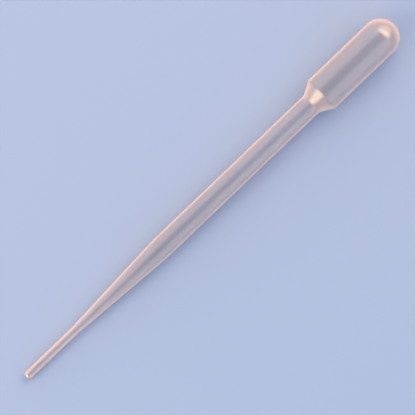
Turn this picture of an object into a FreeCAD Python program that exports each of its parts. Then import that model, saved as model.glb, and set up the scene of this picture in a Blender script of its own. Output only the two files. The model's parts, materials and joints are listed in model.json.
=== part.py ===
import FreeCAD, Part
import math
import os
from collections import namedtuple

# A dropper pipette moulded in one piece: a thick-walled tip with a fine bore, a long
# taper, a straight stem, a short conical shoulder and a squeeze bulb with a round end.
# It is one hollow wall, open only at the cut end of the tip.
#
# Along the pipette's own axis, u runs from the cut end of the tip, at 0, to the crown of
# the bulb, and r is the distance from that axis. Every length here is in millimetres.

# Lengths along the axis, between the corners that the blends round off
TIP_LENGTH = 20.3
TAPER_LENGTH = 35.9
STEM_LENGTH = 64.0
SHOULDER_LENGTH = 4.3
BULB_LENGTH = 30.5

# Outside diameters
TIP_DIAMETER = 2.75
STEM_DIAMETER = 7.03
BULB_DIAMETER = 11.82

# The bore of the tip and the thickness of the wall behind it
TIP_BORE = 1.25
STEM_WALL = 0.5
SHOULDER_WALL = 0.55
BULB_WALL = 0.48
CROWN_WALL = 0.65

# Radii of the blends: the first three on the outside, the last on the inside
TIP_BLEND = 60.0
KNEE_BLEND = 80.0
NECK_BLEND = 1.6
BULB_INNER_BLEND = 0.7

# Where each stretch begins, and where the bulb ends
TAPER_START = TIP_LENGTH
STEM_START = TAPER_START + TAPER_LENGTH
SHOULDER_START = STEM_START + STEM_LENGTH
BULB_START = SHOULDER_START + SHOULDER_LENGTH
CROWN = BULB_START + BULB_LENGTH

# A corner of an outline, and the radius that rounds it off (0 leaves it sharp)
Corner = namedtuple("Corner", "u r blend")
# The arc that rounds a corner off, by three points along it and its centre
Blend = namedtuple("Blend", "start middle end centre")


def at(u, r):
    """The point of the section at station u and distance r from the axis."""
    return FreeCAD.Vector(u, 0, r)


def outer_corners():
    """The corners of the outside, from the tip to where the bulb's round end begins."""
    tip = TIP_DIAMETER / 2
    stem = STEM_DIAMETER / 2
    bulb = BULB_DIAMETER / 2
    return [
        Corner(0, tip, 0),
        Corner(TAPER_START, tip, TIP_BLEND),
        Corner(STEM_START, stem, KNEE_BLEND),
        Corner(SHOULDER_START, stem, NECK_BLEND),
        Corner(BULB_START, bulb, BULB_INNER_BLEND + BULB_WALL),
        Corner(CROWN - bulb, bulb, 0),
    ]


def inner_corners():
    """The corners of the inside, each one wall in from the outside."""
    bore = TIP_BORE / 2
    stem = STEM_DIAMETER / 2 - STEM_WALL
    bulb = BULB_DIAMETER / 2 - BULB_WALL
    slope = (BULB_DIAMETER - STEM_DIAMETER) / 2 / SHOULDER_LENGTH
    drop = SHOULDER_WALL * math.hypot(1, slope)
    return [
        Corner(0, bore, 0),
        Corner(TAPER_START, bore, TIP_BLEND + TIP_DIAMETER / 2 - bore),
        Corner(STEM_START, stem, KNEE_BLEND - STEM_WALL),
        Corner(SHOULDER_START + (drop - STEM_WALL) / slope, stem, NECK_BLEND + STEM_WALL),
        Corner(BULB_START + (drop - BULB_WALL) / slope, bulb, BULB_INNER_BLEND),
        Corner(CROWN - CROWN_WALL - bulb, bulb, 0),
    ]


def blend(before, corner, after):
    """The arc that is tangent to both sides of a corner."""
    vertex = at(corner.u, corner.r)
    back = (at(before.u, before.r) - vertex).normalize()
    ahead = (at(after.u, after.r) - vertex).normalize()
    half = back.getAngle(ahead) / 2
    inward = (back + ahead).normalize()
    centre = vertex + inward * (corner.blend / math.sin(half))
    reach = corner.blend / math.tan(half)
    middle = centre - inward * corner.blend
    return Blend(vertex + back * reach, middle, vertex + ahead * reach, centre)


def side(corners):
    """The edges of one side of the wall, with its corners blended, up to the round end."""
    edges = []
    last = at(corners[0].u, corners[0].r)
    for before, corner, after in zip(corners, corners[1:], corners[2:]):
        arc = blend(before, corner, after)
        edges.append(Part.LineSegment(last, arc.start).toShape())
        edges.append(Part.Arc(arc.start, arc.middle, arc.end).toShape())
        last = arc.end
    end = at(corners[-1].u, corners[-1].r)
    edges.append(Part.LineSegment(last, end).toShape())
    return edges


def round_end(corner):
    """The quarter circle from the end of the bulb's straight side to the axis."""
    half = corner.r * math.sqrt(0.5)
    middle = at(corner.u + half, half)
    return Part.Arc(at(corner.u, corner.r), middle, at(corner.u + corner.r, 0)).toShape()


def wall_section():
    """The face between the outside and the inside, on one side of the axis."""
    outer = outer_corners()
    inner = inner_corners()
    cut_end = Part.LineSegment(at(0, inner[0].r), at(0, outer[0].r)).toShape()
    crown = Part.LineSegment(at(CROWN, 0), at(CROWN - CROWN_WALL, 0)).toShape()
    outside = side(outer) + [round_end(outer[-1])]
    inside = side(inner) + [round_end(inner[-1])]
    return Part.Face(Part.Wire([cut_end] + outside + [crown] + inside[::-1]))


def tangent_tilt(front, front_blend, rear, rear_blend):
    """The slope, in radians, of the line that lies on top of two arcs of the section."""
    run = rear - front
    return math.atan2(run.z, run.x) + math.asin((rear_blend - front_blend) / run.Length)


def rest_placement():
    """How the pipette lies on a level surface, with the surface at z = 0.

    It lies on the front of the bulb, and on the knee where the taper meets the stem or,
    if that stands clear, on the edge of the tip. The middle of its length is at x = 0.
    """
    outer = outer_corners()
    tip, knee, shoulder = outer[0], outer[2], outer[4]
    knee_centre = blend(*outer[1:4]).centre
    shoulder_centre = blend(*outer[3:6]).centre
    tilt = min(
        tangent_tilt(at(tip.u, tip.r), 0, shoulder_centre, shoulder.blend),
        tangent_tilt(knee_centre, knee.blend, shoulder_centre, shoulder.blend),
    )
    across = FreeCAD.Vector(-math.sin(tilt), 0, math.cos(tilt))
    height = across.dot(shoulder_centre) + shoulder.blend
    low_x = -tip.r * math.sin(tilt)
    high_x = (CROWN - BULB_DIAMETER / 2) * math.cos(tilt) + BULB_DIAMETER / 2
    turn = FreeCAD.Rotation(FreeCAD.Vector(0, 1, 0), -math.degrees(tilt))
    return FreeCAD.Placement(FreeCAD.Vector(-(low_x + high_x) / 2, 0, height), turn)


def report(pipette, rest):
    """Prints the volume and box, and the place and axis of each straight round stretch."""
    outer = outer_corners()
    inner = inner_corners()
    stretches = {
        "tip": (0, blend(*outer[0:3]).start.x),
        "bore of the tip": (0, blend(*inner[0:3]).start.x),
        "stem": (blend(*outer[1:4]).end.x, blend(*outer[2:5]).start.x),
    }
    print(f"length {CROWN:.2f} mm, solid volume {pipette.Volume:.1f} mm3")
    box = pipette.optimalBoundingBox(False, False)
    print(f"lowest point at z = {box.ZMin:.4f} mm, x from {box.XMin:.3f} to {box.XMax:.3f} mm")
    for name, (low, high) in stretches.items():
        centre = rest.multVec(at((low + high) / 2, 0))
        print(f"{name}: length {high - low:.2f} mm, centre ({centre.x:.3f}, 0, {centre.z:.3f}) mm")
    out = rest.Rotation.multVec(FreeCAD.Vector(-1, 0, 0))
    print(f"axis out of the tip: ({out.x:.6f}, 0, {out.z:.6f})")


def main():
    """Builds the pipette as it lies and writes it to its STEP file."""
    rest = rest_placement()
    pipette = wall_section().revolve(FreeCAD.Vector(0, 0, 0), FreeCAD.Vector(1, 0, 0), 360)
    pipette.Placement = rest
    os.makedirs("parts", exist_ok=True)
    pipette.exportStep("parts/pipette.step")
    report(pipette, rest)


main()
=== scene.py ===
"""A moulded dropper pipette, lying on a plain floor under soft studio light.

The pipette is one hollow wall of milky polyethylene, open only at the cut end of its tip.
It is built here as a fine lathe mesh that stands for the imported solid, with the same sizes.

Lengths are in metres. Along the pipette's own axis, a station runs from the cut end of the
tip, at 0, to the crown of the bulb.
"""

import json
import logging
import math
from dataclasses import dataclass
from enum import Enum
from typing import Any, Union

import bpy
from mathutils import Matrix, Vector


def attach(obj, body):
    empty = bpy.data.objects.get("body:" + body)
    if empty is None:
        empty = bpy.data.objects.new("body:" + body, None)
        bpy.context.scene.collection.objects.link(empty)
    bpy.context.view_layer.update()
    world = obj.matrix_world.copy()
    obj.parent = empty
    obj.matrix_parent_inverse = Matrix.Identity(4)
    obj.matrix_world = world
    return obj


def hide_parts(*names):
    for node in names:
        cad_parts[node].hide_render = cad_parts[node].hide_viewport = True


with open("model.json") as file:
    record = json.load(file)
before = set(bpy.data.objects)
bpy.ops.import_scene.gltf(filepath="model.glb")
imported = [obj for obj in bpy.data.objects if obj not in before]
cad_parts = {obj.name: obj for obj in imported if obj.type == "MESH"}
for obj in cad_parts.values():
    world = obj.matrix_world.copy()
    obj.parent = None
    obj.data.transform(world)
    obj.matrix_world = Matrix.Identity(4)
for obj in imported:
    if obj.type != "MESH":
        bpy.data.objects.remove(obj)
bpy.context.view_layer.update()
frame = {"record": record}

MM_PER_METRE = 1000

Colour = tuple[float, float, float, float]
Operand = Union["Value", float]

log = logging.getLogger("pipette")


def new_object(name: str, data: bpy.types.ID) -> bpy.types.Object:
    """Makes an object and puts it into the scene.

    Args:
        name: The object's name.
        data: Its mesh, lamp or camera.

    Returns:
        The object.
    """
    made = bpy.data.objects.new(name, data)
    bpy.context.scene.collection.objects.link(made)
    return made


# ---------------------------------------------------------------------------
# Shader graphs
# ---------------------------------------------------------------------------

# The value that a noise varies about
NOISE_MIDDLE = 0.5
# The blend at which a Layer Weight node's Facing is 1 less the cosine of the angle of view
PLAIN_FACING = 0.5


class Value:
    """A number that a shader works out, on which Python's operators add Math nodes."""

    def __init__(self, graph: "Graph", socket: bpy.types.NodeSocket | None) -> None:
        """Wraps an output socket of a graph's node, or none where the node has none."""
        self.graph = graph
        self.socket = socket

    def _math(self, operation: str, first: Operand, second: Operand) -> "Value":
        """Adds a Math node on two operands and gives its result."""
        return self.graph.add("ShaderNodeMath", {"operation": operation}, {0: first, 1: second})

    def __add__(self, other: Operand) -> "Value":
        """self + other."""
        return self._math("ADD", self, other)

    def __radd__(self, other: Operand) -> "Value":
        """other + self."""
        return self._math("ADD", other, self)

    def __sub__(self, other: Operand) -> "Value":
        """self - other."""
        return self._math("SUBTRACT", self, other)

    def __rsub__(self, other: Operand) -> "Value":
        """other - self."""
        return self._math("SUBTRACT", other, self)

    def __mul__(self, other: Operand) -> "Value":
        """self * other."""
        return self._math("MULTIPLY", self, other)

    def __rmul__(self, other: Operand) -> "Value":
        """other * self."""
        return self._math("MULTIPLY", other, self)

    def __pow__(self, other: Operand) -> "Value":
        """self to the power other."""
        return self._math("POWER", self, other)

    def __rpow__(self, other: Operand) -> "Value":
        """other to the power self."""
        return self._math("POWER", other, self)

    def at_least(self, least: Operand) -> "Value":
        """self, or the least where self is lower."""
        return self._math("MAXIMUM", self, least)


class Graph:
    """The node tree of a material or a world, built from nothing."""

    def __init__(self, tree: bpy.types.NodeTree) -> None:
        """Takes over a node tree and empties it."""
        self.tree = tree
        tree.nodes.clear()

    def add(
        self,
        kind: str,
        settings: dict[str, Any] | None = None,
        sockets: dict[str | int, Any] | None = None,
        output: str | int = 0,
    ) -> Value:
        """Adds a node.

        Args:
            kind: The node's type.
            settings: The node's own settings, set before its sockets.
            sockets: What goes into each input, by name or number: a value or a link.
            output: The output to hand back, by name or number.

        Returns:
            The node's chosen output, or an empty one where the node has no outputs.
        """
        node = self.tree.nodes.new(kind)
        for name, value in (settings or {}).items():
            setattr(node, name, value)
        for key, value in (sockets or {}).items():
            if isinstance(value, Value):
                self.tree.links.new(value.socket, node.inputs[key])
            else:
                node.inputs[key].default_value = value
        return Value(self, node.outputs[output] if node.outputs else None)

    def step(self, value: Operand, low: Operand, high: Operand) -> Value:
        """Adds a smooth step.

        Args:
            value: What the step depends on.
            low: The value at which the step begins.
            high: The value at which the step ends.

        Returns:
            A value that is 0 up to low, rises smoothly, and is 1 from high on.
        """
        return self.add(
            "ShaderNodeMapRange",
            {"interpolation_type": "SMOOTHSTEP"},
            {"Value": value, "From Min": low, "From Max": high},
        )


def new_material(name: str) -> tuple[bpy.types.Material, Graph]:
    """Makes a material with nothing in it.

    Args:
        name: The material's name.

    Returns:
        The material, and the graph that its nodes go into.
    """
    made = bpy.data.materials.new(name)
    made.use_nodes = True
    return made, Graph(made.node_tree)


# ---------------------------------------------------------------------------
# The pipette
# ---------------------------------------------------------------------------


def share_of_way(value: float, low: float, high: float) -> float:
    """How far a value has come on the way from low to high, from 0 to 1."""
    return min(max((value - low) / (high - low), 0.0), 1.0)


def smooth_share(value: float, low: float, high: float) -> float:
    """How far a value has come from low to high, from 0 to 1, with a smooth start and end."""
    share = share_of_way(value, low, high)
    return share * share * (3 - 2 * share)


@dataclass(frozen=True)
class Corner:
    """A corner of the wall's outline.

    radius is its distance from the axis, and blend is the radius that rounds it off, which
    is 0 at either end of the outline.
    """

    station: float
    radius: float
    blend: float = 0.0


@dataclass(frozen=True)
class Outline:
    """One side of the wall's section, from the cut end of the tip to the crown.

    spacing is about the furthest that its points stand apart, and turn about how much it
    turns, in radians, between two points of a tight bend. Each bend has at least
    fewest_steps steps.
    """

    corners: tuple[Corner, ...]
    spacing: float
    turn: float
    fewest_steps: int = 2

    def _arc(self, before: Corner, corner: Corner, after: Corner) -> list[Vector]:
        """The points of the arc that rounds a corner off.

        Args:
            before: The corner nearer the tip.
            corner: The corner to round off.
            after: The corner nearer the crown.

        Returns:
            The points, from the tip's side on, with both of the arc's ends.
        """
        vertex = Vector((corner.station, corner.radius))
        back = (Vector((before.station, before.radius)) - vertex).normalized()
        ahead = (Vector((after.station, after.radius)) - vertex).normalized()
        half = back.angle(ahead) / 2
        centre = vertex + (back + ahead).normalized() * (corner.blend / math.sin(half))
        reach = corner.blend / math.tan(half)
        first = vertex + back * reach - centre
        sweep = math.pi - 2 * half
        sign = 1 if back.x * ahead.y - back.y * ahead.x > 0 else -1
        by_turn = round(sweep / self.turn)
        by_length = round(sweep * corner.blend / self.spacing)
        count = max(self.fewest_steps, by_turn, by_length)
        return [
            centre + Matrix.Rotation(-sign * sweep * i / count, 2) @ first
            for i in range(count + 1)
        ]

    def _straight(self, start: Vector, end: Vector) -> list[Vector]:
        """The evenly spaced points between two ends, without the ends."""
        count = max(1, math.ceil((end - start).length / self.spacing))
        return [start.lerp(end, i / count) for i in range(1, count)]

    def _round_end(self) -> list[Vector]:
        """The quarter circle from the last corner to the axis.

        Returns:
            Its points, from the last corner on.
        """
        last = self.corners[-1]
        count = round(math.pi / 2 / self.turn)
        angles = [math.pi / 2 * i / count for i in range(count + 1)]
        return [
            Vector((last.station + last.radius * math.sin(a), last.radius * math.cos(a)))
            for a in angles[:-1]
        ] + [Vector((last.station + last.radius, 0.0))]

    def points(self) -> list[Vector]:
        """The points of the whole outline.

        Returns:
            The points, from the cut end of the tip to the axis at the crown.
        """
        found = [Vector((self.corners[0].station, self.corners[0].radius))]
        for before, corner, after in zip(self.corners, self.corners[1:], self.corners[2:]):
            arc = self._arc(before, corner, after)
            found += self._straight(found[-1], arc[0]) + arc
        end = self._round_end()
        return found + self._straight(found[-1], end[0]) + end


@dataclass(frozen=True)
class MilkyPolyethylene:
    """Undyed soft polyethylene: hazy and see-through where thin, and milky where thick.

    The outer side of the wall carries the milkiness of the plastic that a sight line runs
    through there. That is most near the outline, where the line runs along the wall. Past
    the bore, the light that is caught in the wall adds to it, so the outline shows as a
    bright rim.
    """

    # The see-through part: its colour, how strongly it bends light, how far it blurs what
    # is behind it, and how much more it does so in the streaks
    tint: Colour = (0.985, 0.925, 0.91, 1.0)
    ior: float = 1.51
    haze: float = 0.29
    haze_change: float = 0.02
    # The milky part: its colour, how rough it is, and the power with which it comes in as a
    # sight line runs through more plastic
    milk: Colour = (1.0, 0.72, 0.58, 1.0)
    milk_haze: float = 0.35
    milk_rise: float = 1.9
    # The light that is caught in the wall: how milky it makes the rim, and the share of the
    # wall's thickness, from the bore outwards, over which it comes in
    rim_glow: float = 1.0
    rim_width: float = 0.4
    # The milky part's soft glow at a slant: how strong and how wide it is, and its colour
    glow: float = 0.8
    glow_width: float = 0.4
    glow_tint: Colour = (1.0, 0.62, 0.42, 1.0)
    # The smooth moulded skin: how rough it is, and how strongly it reflects
    skin_haze: float = 0.16
    skin_ior: float = 2.1
    # The streaks: how many fit into a metre, lengthwise and across, and how much they
    # change the milkiness
    streak_scale: tuple[float, float, float] = (60.0, 900.0, 900.0)
    streak_strength: float = 0.3
    # The grain: how many grains fit into a metre, and how high they stand
    grain_scale: float = 2500.0
    grain_depth: float = 2e-7

    def _own(self, graph: Graph) -> Value:
        """Reads where each point lies in the pipette's own frame."""
        return graph.add("ShaderNodeAttribute", {"attribute_name": "own"}, output="Vector")

    def _streaks(self, graph: Graph) -> Value:
        """Builds the faint lengthwise streaks that the moulding leaves.

        Args:
            graph: The graph that takes the nodes.

        Returns:
            How much of a streak there is, from 0 to 1.
        """
        stretched = graph.add(
            "ShaderNodeVectorMath",
            {"operation": "MULTIPLY"},
            {0: self._own(graph), 1: self.streak_scale},
        )
        return graph.add("ShaderNodeTexNoise", {}, {"Vector": stretched, "Scale": 1.0})

    def _grain(self, graph: Graph) -> Value:
        """Builds the fine grain of the surface.

        Args:
            graph: The graph that takes the nodes.

        Returns:
            The grain's normal.
        """
        sockets = {"Vector": self._own(graph), "Scale": self.grain_scale}
        grain = graph.add("ShaderNodeTexNoise", {}, sockets)
        return graph.add("ShaderNodeBump", {}, {"Height": grain, "Distance": self.grain_depth})

    def _milkiness(self, graph: Graph, streaks: Value) -> Value:
        """Builds how milky the wall looks, from how much of it a sight line runs through.

        In outside radii, across is how far from the axis the line passes, facing is half its
        length in the whole tube, which is held past the bore at what it is where the line
        just touches that, and hollow is half its length in the bore.

        Args:
            graph: The graph that takes the nodes.
            streaks: The faint streaks in the plastic, from 0 to 1.

        Returns:
            The share of the look that is milky rather than see-through, from 0 to 1.
        """
        turned = graph.add(
            "ShaderNodeLayerWeight", {}, {"Blend": PLAIN_FACING}, output="Facing"
        )
        bore = graph.add("ShaderNodeAttribute", {"attribute_name": "bore_share"}, output="Fac")
        cloud = graph.add("ShaderNodeAttribute", {"attribute_name": "cloud"}, output="Fac")
        grazing = 1 - bore * bore
        facing = (1 - turned).at_least(grazing**0.5)
        hollow = (facing * facing - grazing).at_least(0.0) ** 0.5
        streaked = cloud * (1 + self.streak_strength * (streaks - NOISE_MIDDLE))
        milk = ((facing - hollow) * streaked) ** self.milk_rise
        across = (turned * (2 - turned)) ** 0.5
        caught = graph.step(across, bore, bore + self.rim_width * (1 - bore))
        return 1 - math.e ** (0 - milk - self.rim_glow * caught)

    def _see_through(self, graph: Graph, streaks: Value, normal: Value, skin: float) -> Value:
        """Builds the see-through part of the plastic.

        Args:
            graph: The graph that takes the nodes.
            streaks: The faint streaks in the plastic, from 0 to 1.
            normal: The grain's normal.
            skin: How much of the smooth moulded skin it has, from 0 to 1.

        Returns:
            The shader.
        """
        return graph.add(
            "ShaderNodeBsdfPrincipled",
            {},
            {
                "Base Color": self.tint,
                "Roughness": self.haze + self.haze_change * streaks,
                "Transmission Weight": 1.0,
                "IOR": self.ior,
                "Coat Weight": skin,
                "Coat Roughness": self.skin_haze,
                "Coat IOR": self.skin_ior,
                "Normal": normal,
            },
        )

    def inner(self) -> bpy.types.Material:
        """Builds the finish of the wall's inner side.

        Returns:
            The material.
        """
        made, graph = new_material("polyethylene_inside")
        shader = self._see_through(graph, self._streaks(graph), self._grain(graph), 0.0)
        graph.add("ShaderNodeOutputMaterial", {}, {"Surface": shader})
        return made

    def outer(self) -> bpy.types.Material:
        """Builds the finish of the wall's outer side.

        Returns:
            The material.
        """
        made, graph = new_material("polyethylene_outside")
        streaks = self._streaks(graph)
        normal = self._grain(graph)
        milky = graph.add(
            "ShaderNodeBsdfPrincipled",
            {},
            {
                "Base Color": self.milk,
                "Roughness": self.milk_haze,
                "Sheen Weight": self.glow,
                "Sheen Roughness": self.glow_width,
                "Sheen Tint": self.glow_tint,
                "Coat Weight": 1.0,
                "Coat Roughness": self.skin_haze,
                "Coat IOR": self.skin_ior,
                "Normal": normal,
            },
        )
        clear = self._see_through(graph, streaks, normal, 1.0)
        share = self._milkiness(graph, streaks)
        shader = graph.add("ShaderNodeMixShader", {}, {0: share, 1: clear, 2: milky})
        graph.add("ShaderNodeOutputMaterial", {}, {"Surface": shader})
        return made


@dataclass(frozen=True)
class Pipette:
    """The whole pipette, which is one piece.

    start is the middle of the tip's cut end and axis points from there to the crown.
    """

    start: Vector
    axis: Vector
    finish: MilkyPolyethylene
    # Lengths along the axis, between the corners that the blends round off
    tip_length: float = 0.0203
    taper_length: float = 0.0359
    stem_length: float = 0.0640
    shoulder_length: float = 0.0043
    bulb_length: float = 0.0305
    # Outside radii
    tip_radius: float = 0.001375
    stem_radius: float = 0.003515
    bulb_radius: float = 0.00591
    # The bore of the tip, and the thickness of the wall behind it
    bore_radius: float = 0.000625
    stem_wall: float = 0.0005
    shoulder_wall: float = 0.00055
    bulb_wall: float = 0.00048
    crown_wall: float = 0.00065
    # Radii of the blends: the first three on the outside, the last on the inside
    tip_blend: float = 0.060
    knee_blend: float = 0.080
    neck_blend: float = 0.0016
    bulb_inner_blend: float = 0.0007
    # The cloud in a metre of plastic, how many times as much there is in the shoulder, the
    # crown and the tip, and how far the crown's reaches back, in radii of the bulb
    cloud_per_metre: float = 320.0
    shoulder_cloud: float = 1.6
    crown_cloud: float = 1.6
    tip_cloud: float = 0.85
    crown_cloud_reach: float = 1.5
    # The mesh: how many sides it has round the axis, about the furthest that its rings stand
    # apart, and about how much the wall turns, in radians, between two of a tight bend
    sides: int = 128
    spacing: float = 0.0010
    turn: float = math.radians(4)

    @property
    def taper_start(self) -> float:
        """The station where the tip's straight stretch meets the taper."""
        return self.tip_length

    @property
    def stem_start(self) -> float:
        """The station of the knee, where the taper meets the stem."""
        return self.taper_start + self.taper_length

    @property
    def shoulder_start(self) -> float:
        """The station of the neck, where the stem meets the shoulder."""
        return self.stem_start + self.stem_length

    @property
    def bulb_start(self) -> float:
        """The station where the shoulder meets the bulb."""
        return self.shoulder_start + self.shoulder_length

    @property
    def crown(self) -> float:
        """The station of the bulb's far end."""
        return self.bulb_start + self.bulb_length

    def outside(self) -> Outline:
        """The outer side of the wall.

        Returns:
            Its outline.
        """
        corners = (
            Corner(0.0, self.tip_radius),
            Corner(self.taper_start, self.tip_radius, self.tip_blend),
            Corner(self.stem_start, self.stem_radius, self.knee_blend),
            Corner(self.shoulder_start, self.stem_radius, self.neck_blend),
            Corner(self.bulb_start, self.bulb_radius, self.bulb_inner_blend + self.bulb_wall),
            Corner(self.crown - self.bulb_radius, self.bulb_radius),
        )
        return Outline(corners, self.spacing, self.turn)

    def inside(self) -> Outline:
        """The inner side of the wall, one wall in from the outer side.

        Returns:
            Its outline.
        """
        stem = self.stem_radius - self.stem_wall
        bulb = self.bulb_radius - self.bulb_wall
        slope = (self.bulb_radius - self.stem_radius) / self.shoulder_length
        drop = self.shoulder_wall * math.hypot(1, slope)
        neck = self.shoulder_start + (drop - self.stem_wall) / slope
        corner = self.bulb_start + (drop - self.bulb_wall) / slope
        tip_blend = self.tip_blend + self.tip_radius - self.bore_radius
        corners = (
            Corner(0.0, self.bore_radius),
            Corner(self.taper_start, self.bore_radius, tip_blend),
            Corner(self.stem_start, stem, self.knee_blend - self.stem_wall),
            Corner(neck, stem, self.neck_blend + self.stem_wall),
            Corner(corner, bulb, self.bulb_inner_blend),
            Corner(self.crown - self.crown_wall - bulb, bulb),
        )
        return Outline(corners, self.spacing, self.turn)

    def _place(self) -> Matrix:
        """Where the pipette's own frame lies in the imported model's.

        Returns:
            The turn and the shift from the one to the other.
        """
        up = Vector((-self.axis.z, 0.0, self.axis.x))
        side = up.cross(self.axis)
        turn = Matrix((self.axis, side, up)).transposed().to_4x4()
        return Matrix.Translation(self.start) @ turn

    def radius_at(self, station: float) -> float:
        """The outside radius at a station, with the corners left sharp.

        Args:
            station: The distance from the cut end of the tip.

        Returns:
            The radius. It stays the bulb's on the round end.
        """
        taper = share_of_way(station, self.taper_start, self.stem_start)
        shoulder = share_of_way(station, self.shoulder_start, self.bulb_start)
        stem = self.tip_radius + (self.stem_radius - self.tip_radius) * taper
        return stem + (self.bulb_radius - self.stem_radius) * shoulder

    def bore_share_at(self, station: float) -> float:
        """The inside radius at a station, as a share of the outside radius.

        Args:
            station: The distance from the cut end of the tip.

        Returns:
            The share, from the walls of the tip and the stem alone.
        """
        taper = share_of_way(station, self.taper_start, self.stem_start)
        tip_wall = self.tip_radius - self.bore_radius
        wall = tip_wall + (self.stem_wall - tip_wall) * taper
        return 1 - wall / self.radius_at(station)

    def cloud_at(self, station: float) -> float:
        """How much cloud a sight line along the outside diameter meets at a station.

        Args:
            station: The distance from the cut end of the tip.

        Returns:
            The cloud if that whole diameter were plastic. The plastic of the shoulder and of
            the bulb's round end has the most for its thickness, and the tip's the least.
        """
        corner_fade = self.neck_blend / 2
        neck = smooth_share(station, self.shoulder_start - self.neck_blend, self.shoulder_start)
        corner = smooth_share(station, self.bulb_start - corner_fade, self.bulb_start)
        crown_reach = self.crown_cloud_reach * self.bulb_radius
        crown = smooth_share(station, self.crown - crown_reach, self.crown)
        tip = 1 - smooth_share(station, self.taper_start, self.stem_start)
        more = 1 + (self.shoulder_cloud - 1) * neck * (1 - corner)
        more += (self.crown_cloud - 1) * crown + (self.tip_cloud - 1) * tip
        return 2 * self.radius_at(station) * self.cloud_per_metre * more

    def _turned(self, rows: list[Vector]) -> list[Vector]:
        """Turns the section's points round the axis.

        Args:
            rows: The section's points. The first and the last are on the axis.

        Returns:
            The first point, a ring for each point between, and the last point.
        """
        points = [Vector((rows[0].x, 0.0, 0.0))]
        for row in rows[1:-1]:
            for i in range(self.sides):
                angle = 2 * math.pi * i / self.sides
                points.append(
                    Vector((row.x, row.y * math.sin(angle), row.y * math.cos(angle)))
                )
        points.append(Vector((rows[-1].x, 0.0, 0.0)))
        return points

    def _faces(self, last: int) -> list[tuple[int, ...]]:
        """Joins the turned points up.

        Args:
            last: The number of the last point.

        Returns:
            The numbers of each face's points.
        """
        last_ring = last - self.sides
        faces: list[tuple[int, ...]] = []
        for i in range(self.sides):
            after = (i + 1) % self.sides
            faces.append((0, 1 + i, 1 + after))
            for ring in range(1, last_ring, self.sides):
                following = ring + self.sides
                faces.append((ring + i, following + i, following + after, ring + after))
            faces.append((last_ring + i, last, last_ring + after))
        return faces

    def mesh(self) -> bpy.types.Mesh:
        """Turns the wall's section round the axis.

        Returns:
            One closed mesh, which carries what the finish reads at each of its points.
        """
        inside = self.inside().points()[::-1]
        points = self._turned(inside + self.outside().points())
        first_outer = 1 + (len(inside) - 1) * self.sides
        place = self._place()
        made = bpy.data.meshes.new("pipette_wall")
        made.from_pydata([place @ p for p in points], [], self._faces(len(points) - 1))
        for face in made.polygons:
            face.material_index = int(max(face.vertices) < first_outer)
        own = made.attributes.new("own", "FLOAT_VECTOR", "POINT")
        own.data.foreach_set("vector", [x for p in points for x in p])
        cloud = made.attributes.new("cloud", "FLOAT", "POINT")
        cloud.data.foreach_set("value", [self.cloud_at(p.x) for p in points])
        share = made.attributes.new("bore_share", "FLOAT", "POINT")
        share.data.foreach_set("value", [self.bore_share_at(p.x) for p in points])
        made.shade_smooth()
        made.update()
        return made

    def build(self) -> bpy.types.Object:
        """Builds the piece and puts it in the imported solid's place.

        Returns:
            The piece.
        """
        piece = new_object("pipette_body", self.mesh())
        piece.data.materials.append(self.finish.outer())
        piece.data.materials.append(self.finish.inner())
        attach(piece, "root")
        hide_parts("pipette")
        return piece


# ---------------------------------------------------------------------------
# The studio
# ---------------------------------------------------------------------------


class Toward(Enum):
    """Where a lamp hangs: how many degrees round from the way that the bulb points."""

    BULB = 4.0
    BULB_BACK = 16.0
    BACK = 90.0
    TIP_BACK = 157.0
    TIP = 171.0
    FRONT = 270.0


class Face(Enum):
    """The shape of a lamp's face, and how much of its width times its height that fills."""

    RECTANGLE = 1.0
    ELLIPSE = math.pi / 4


@dataclass(frozen=True)
class SoftPanel:
    """A flat soft lamp that faces the pipette.

    elevation is how high it hangs, in degrees above the floor, level is how bright it looks
    beside white, and mirrored says whether smooth surfaces show its reflection. Where two
    lamps overlap, the one in front hangs at a shorter distance.
    """

    toward: Toward
    elevation: float
    width: float
    height: float
    level: float
    colour: tuple[float, float, float]
    face: Face = Face.RECTANGLE
    mirrored: bool = True
    distance: float = 0.7

    def build(self) -> None:
        """Hangs the lamp."""
        data = bpy.data.lights.new(f"panel_{self.toward.name.lower()}", "AREA")
        data.shape = self.face.name
        data.size = self.width
        data.size_y = self.height
        data.energy = self.level * math.pi * self.width * self.height * self.face.value
        data.color = self.colour
        turn = math.radians(self.toward.value)
        rise = math.radians(self.elevation)
        away = Vector(
            (math.cos(turn) * math.cos(rise), math.sin(turn) * math.cos(rise), math.sin(rise))
        )
        lamp = new_object(data.name, data)
        lamp.location = away * self.distance
        lamp.rotation_mode = "QUATERNION"
        lamp.rotation_quaternion = away.to_track_quat("Z", "Y")
        lamp.visible_camera = False
        lamp.visible_glossy = self.mirrored


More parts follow.
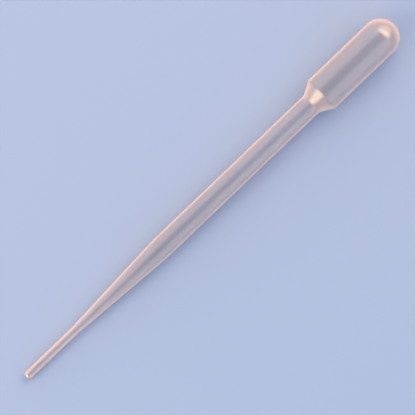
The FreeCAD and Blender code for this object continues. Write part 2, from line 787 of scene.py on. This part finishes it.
@dataclass(frozen=True)
class PaleSurface:
    """The floor's finish: lit and shaded round the pipette, and one plain colour far off.

    The one turns into the other from lit_reach to plain_reach away from the pipette's
    middle, so that the floor runs on into the backdrop. seen_through is how much of the
    plain colour shows through the plastic in place of the shaded floor.
    """

    colour: Colour = (0.42, 0.53, 0.74, 1.0)
    seen_through: float = 0.45
    lit_reach: float = 0.12
    plain_reach: float = 0.40

    def build(self) -> bpy.types.Material:
        """Builds the finish.

        Returns:
            The material.
        """
        made, graph = new_material("floor")
        lit = graph.add(
            "ShaderNodeBsdfPrincipled",
            {},
            {"Base Color": self.colour, "Roughness": 1.0, "Specular IOR Level": 0.0},
        )
        plain = graph.add("ShaderNodeEmission", {}, {"Color": self.colour})
        through = graph.add("ShaderNodeLightPath", output="Is Transmission Ray")
        seen = graph.add("ShaderNodeLightPath", output="Is Camera Ray")
        place = graph.add("ShaderNodeNewGeometry", output="Position")
        away = graph.add(
            "ShaderNodeVectorMath", {"operation": "LENGTH"}, {0: place}, output="Value"
        )
        share = self.seen_through * through
        share += seen * graph.step(away, self.lit_reach, self.plain_reach)
        shader = graph.add("ShaderNodeMixShader", {}, {0: share, 1: lit, 2: plain})
        graph.add("ShaderNodeOutputMaterial", {}, {"Surface": shader})
        return made


@dataclass(frozen=True)
class Floor:
    """The plain pale surface that the pipette lies on."""

    size: float = 6.0
    finish: PaleSurface = PaleSurface()

    def build(self) -> None:
        """Lays the floor at height 0."""
        half = self.size / 2
        corners = [(-half, -half, 0), (half, -half, 0), (half, half, 0), (-half, half, 0)]
        mesh = bpy.data.meshes.new("floor")
        mesh.from_pydata(corners, [], [(0, 1, 2, 3)])
        mesh.materials.append(self.finish.build())
        floor = new_object("floor", mesh)


@dataclass(frozen=True)
class Camera:
    """A camera that looks straight down, with the bulb up to the right.

    span is how wide a stretch it shows at span_height, which is about as high as the
    pipette's axis. turn is how far above level the bulb points in the view, in radians, and
    right and up are how far the pipette's middle is from the view's.
    """

    height: float = 0.6
    span: float = 0.126
    span_height: float = 0.0055
    turn: float = math.radians(43.76)
    right: float = 0.00068
    up: float = 0.00186

    def build(self) -> None:
        """Sets the camera up."""
        data = bpy.data.cameras.new("camera")
        data.lens = data.sensor_width * (self.height - self.span_height) / self.span
        camera = new_object("camera", data)
        roll = Matrix.Rotation(-self.turn, 3, "Z")
        camera.location = roll @ Vector((-self.right, -self.up, 0)) + Vector((0, 0, self.height))
        camera.rotation_euler = roll.to_euler()
        bpy.context.scene.camera = camera


@dataclass(frozen=True)
class Studio:
    """The floor, the light and the camera.

    air is the colour of the even light from all round, and air_level its strength.
    """

    floor: Floor = Floor()
    camera: Camera = Camera()
    air: Colour = (0.33, 0.61, 1.0, 1.0)
    air_level: float = 0.55
    panels: tuple[SoftPanel, ...] = (
        # The glow on the bulb's round end, and the bright spot within it
        SoftPanel(
            Toward.BULB_BACK, elevation=38.0, width=1.02, height=0.76, level=1.28,
            colour=(1.0, 0.70, 0.44), face=Face.ELLIPSE,
        ),
        SoftPanel(
            Toward.BULB, elevation=52.0, width=0.98, height=0.26, level=2.2,
            colour=(1.0, 0.65, 0.35), face=Face.ELLIPSE, distance=0.69,
        ),
        # Warm light on the rim of the bulb's round end
        SoftPanel(
            Toward.BULB_BACK, elevation=12.0, width=0.60, height=0.24, level=1.34,
            colour=(1.0, 0.61, 0.38), mirrored=False, distance=0.69,
        ),
        # The pale light on the taper, and the bright spot on the shoulder
        SoftPanel(
            Toward.TIP_BACK, elevation=36.0, width=0.66, height=0.70, level=0.87,
            colour=(1.0, 0.96, 0.74),
        ),
        SoftPanel(
            Toward.TIP, elevation=34.0, width=0.62, height=0.66, level=2.2,
            colour=(1.0, 0.64, 0.35), face=Face.ELLIPSE, distance=0.69,
        ),
        # The soft light along either side, which leaves a dark band in between, and warm
        # light on the rim at the back
        SoftPanel(
            Toward.BACK, elevation=32.0, width=0.70, height=0.84, level=0.47,
            colour=(1.0, 0.91, 0.83),
        ),
        SoftPanel(
            Toward.BACK, elevation=10.0, width=1.60, height=0.20, level=1.8,
            colour=(1.0, 0.56, 0.30), mirrored=False, distance=0.69,
        ),
        SoftPanel(
            Toward.FRONT, elevation=36.5, width=0.70, height=0.82, level=0.48,
            colour=(1.0, 0.89, 0.86),
        ),
    )

    def _light_the_air(self) -> None:
        """Fills the studio with an even light from all round, before a plain backdrop."""
        world = bpy.data.worlds.new("air")
        world.use_nodes = True
        graph = Graph(world.node_tree)
        light = graph.add(
            "ShaderNodeBackground", {}, {"Color": self.air, "Strength": self.air_level}
        )
        backdrop = graph.add(
            "ShaderNodeBackground", {}, {"Color": self.floor.finish.colour}
        )
        seen = graph.add("ShaderNodeLightPath", output="Is Camera Ray")
        shader = graph.add("ShaderNodeMixShader", {}, {0: seen, 1: light, 2: backdrop})
        graph.add("ShaderNodeOutputWorld", {}, {"Surface": shader})
        bpy.context.scene.world = world

    def build(self) -> None:
        """Sets the studio up."""
        self._light_the_air()
        self.floor.build()
        for panel in self.panels:
            panel.build()
        self.camera.build()
        bpy.context.scene.view_settings.view_transform = "Standard"


def laid_out() -> tuple[Vector, Vector]:
    """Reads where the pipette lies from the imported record.

    Returns:
        The middle of the tip's cut end, and the way from there to the crown.
    """
    tip = next(m for m in frame["record"]["mounts"] if m["name"] == "tip")
    out = Vector(tip["axis"]).normalized()
    reach = tip["dims"]["length_mm"] / MM_PER_METRE / 2
    return Vector(tip["pos_m"]) + out * reach, -out


def main() -> None:
    """Builds the pipette and its studio, and reports each piece."""
    logging.basicConfig(level=logging.INFO, format="%(name)s: %(message)s")
    start, axis = laid_out()
    piece = Pipette(start, axis, MilkyPolyethylene()).build()
    log.info("%s has %d faces", piece.name, len(piece.data.polygons))
    Studio().build()


if __name__ == "__main__":
    main()
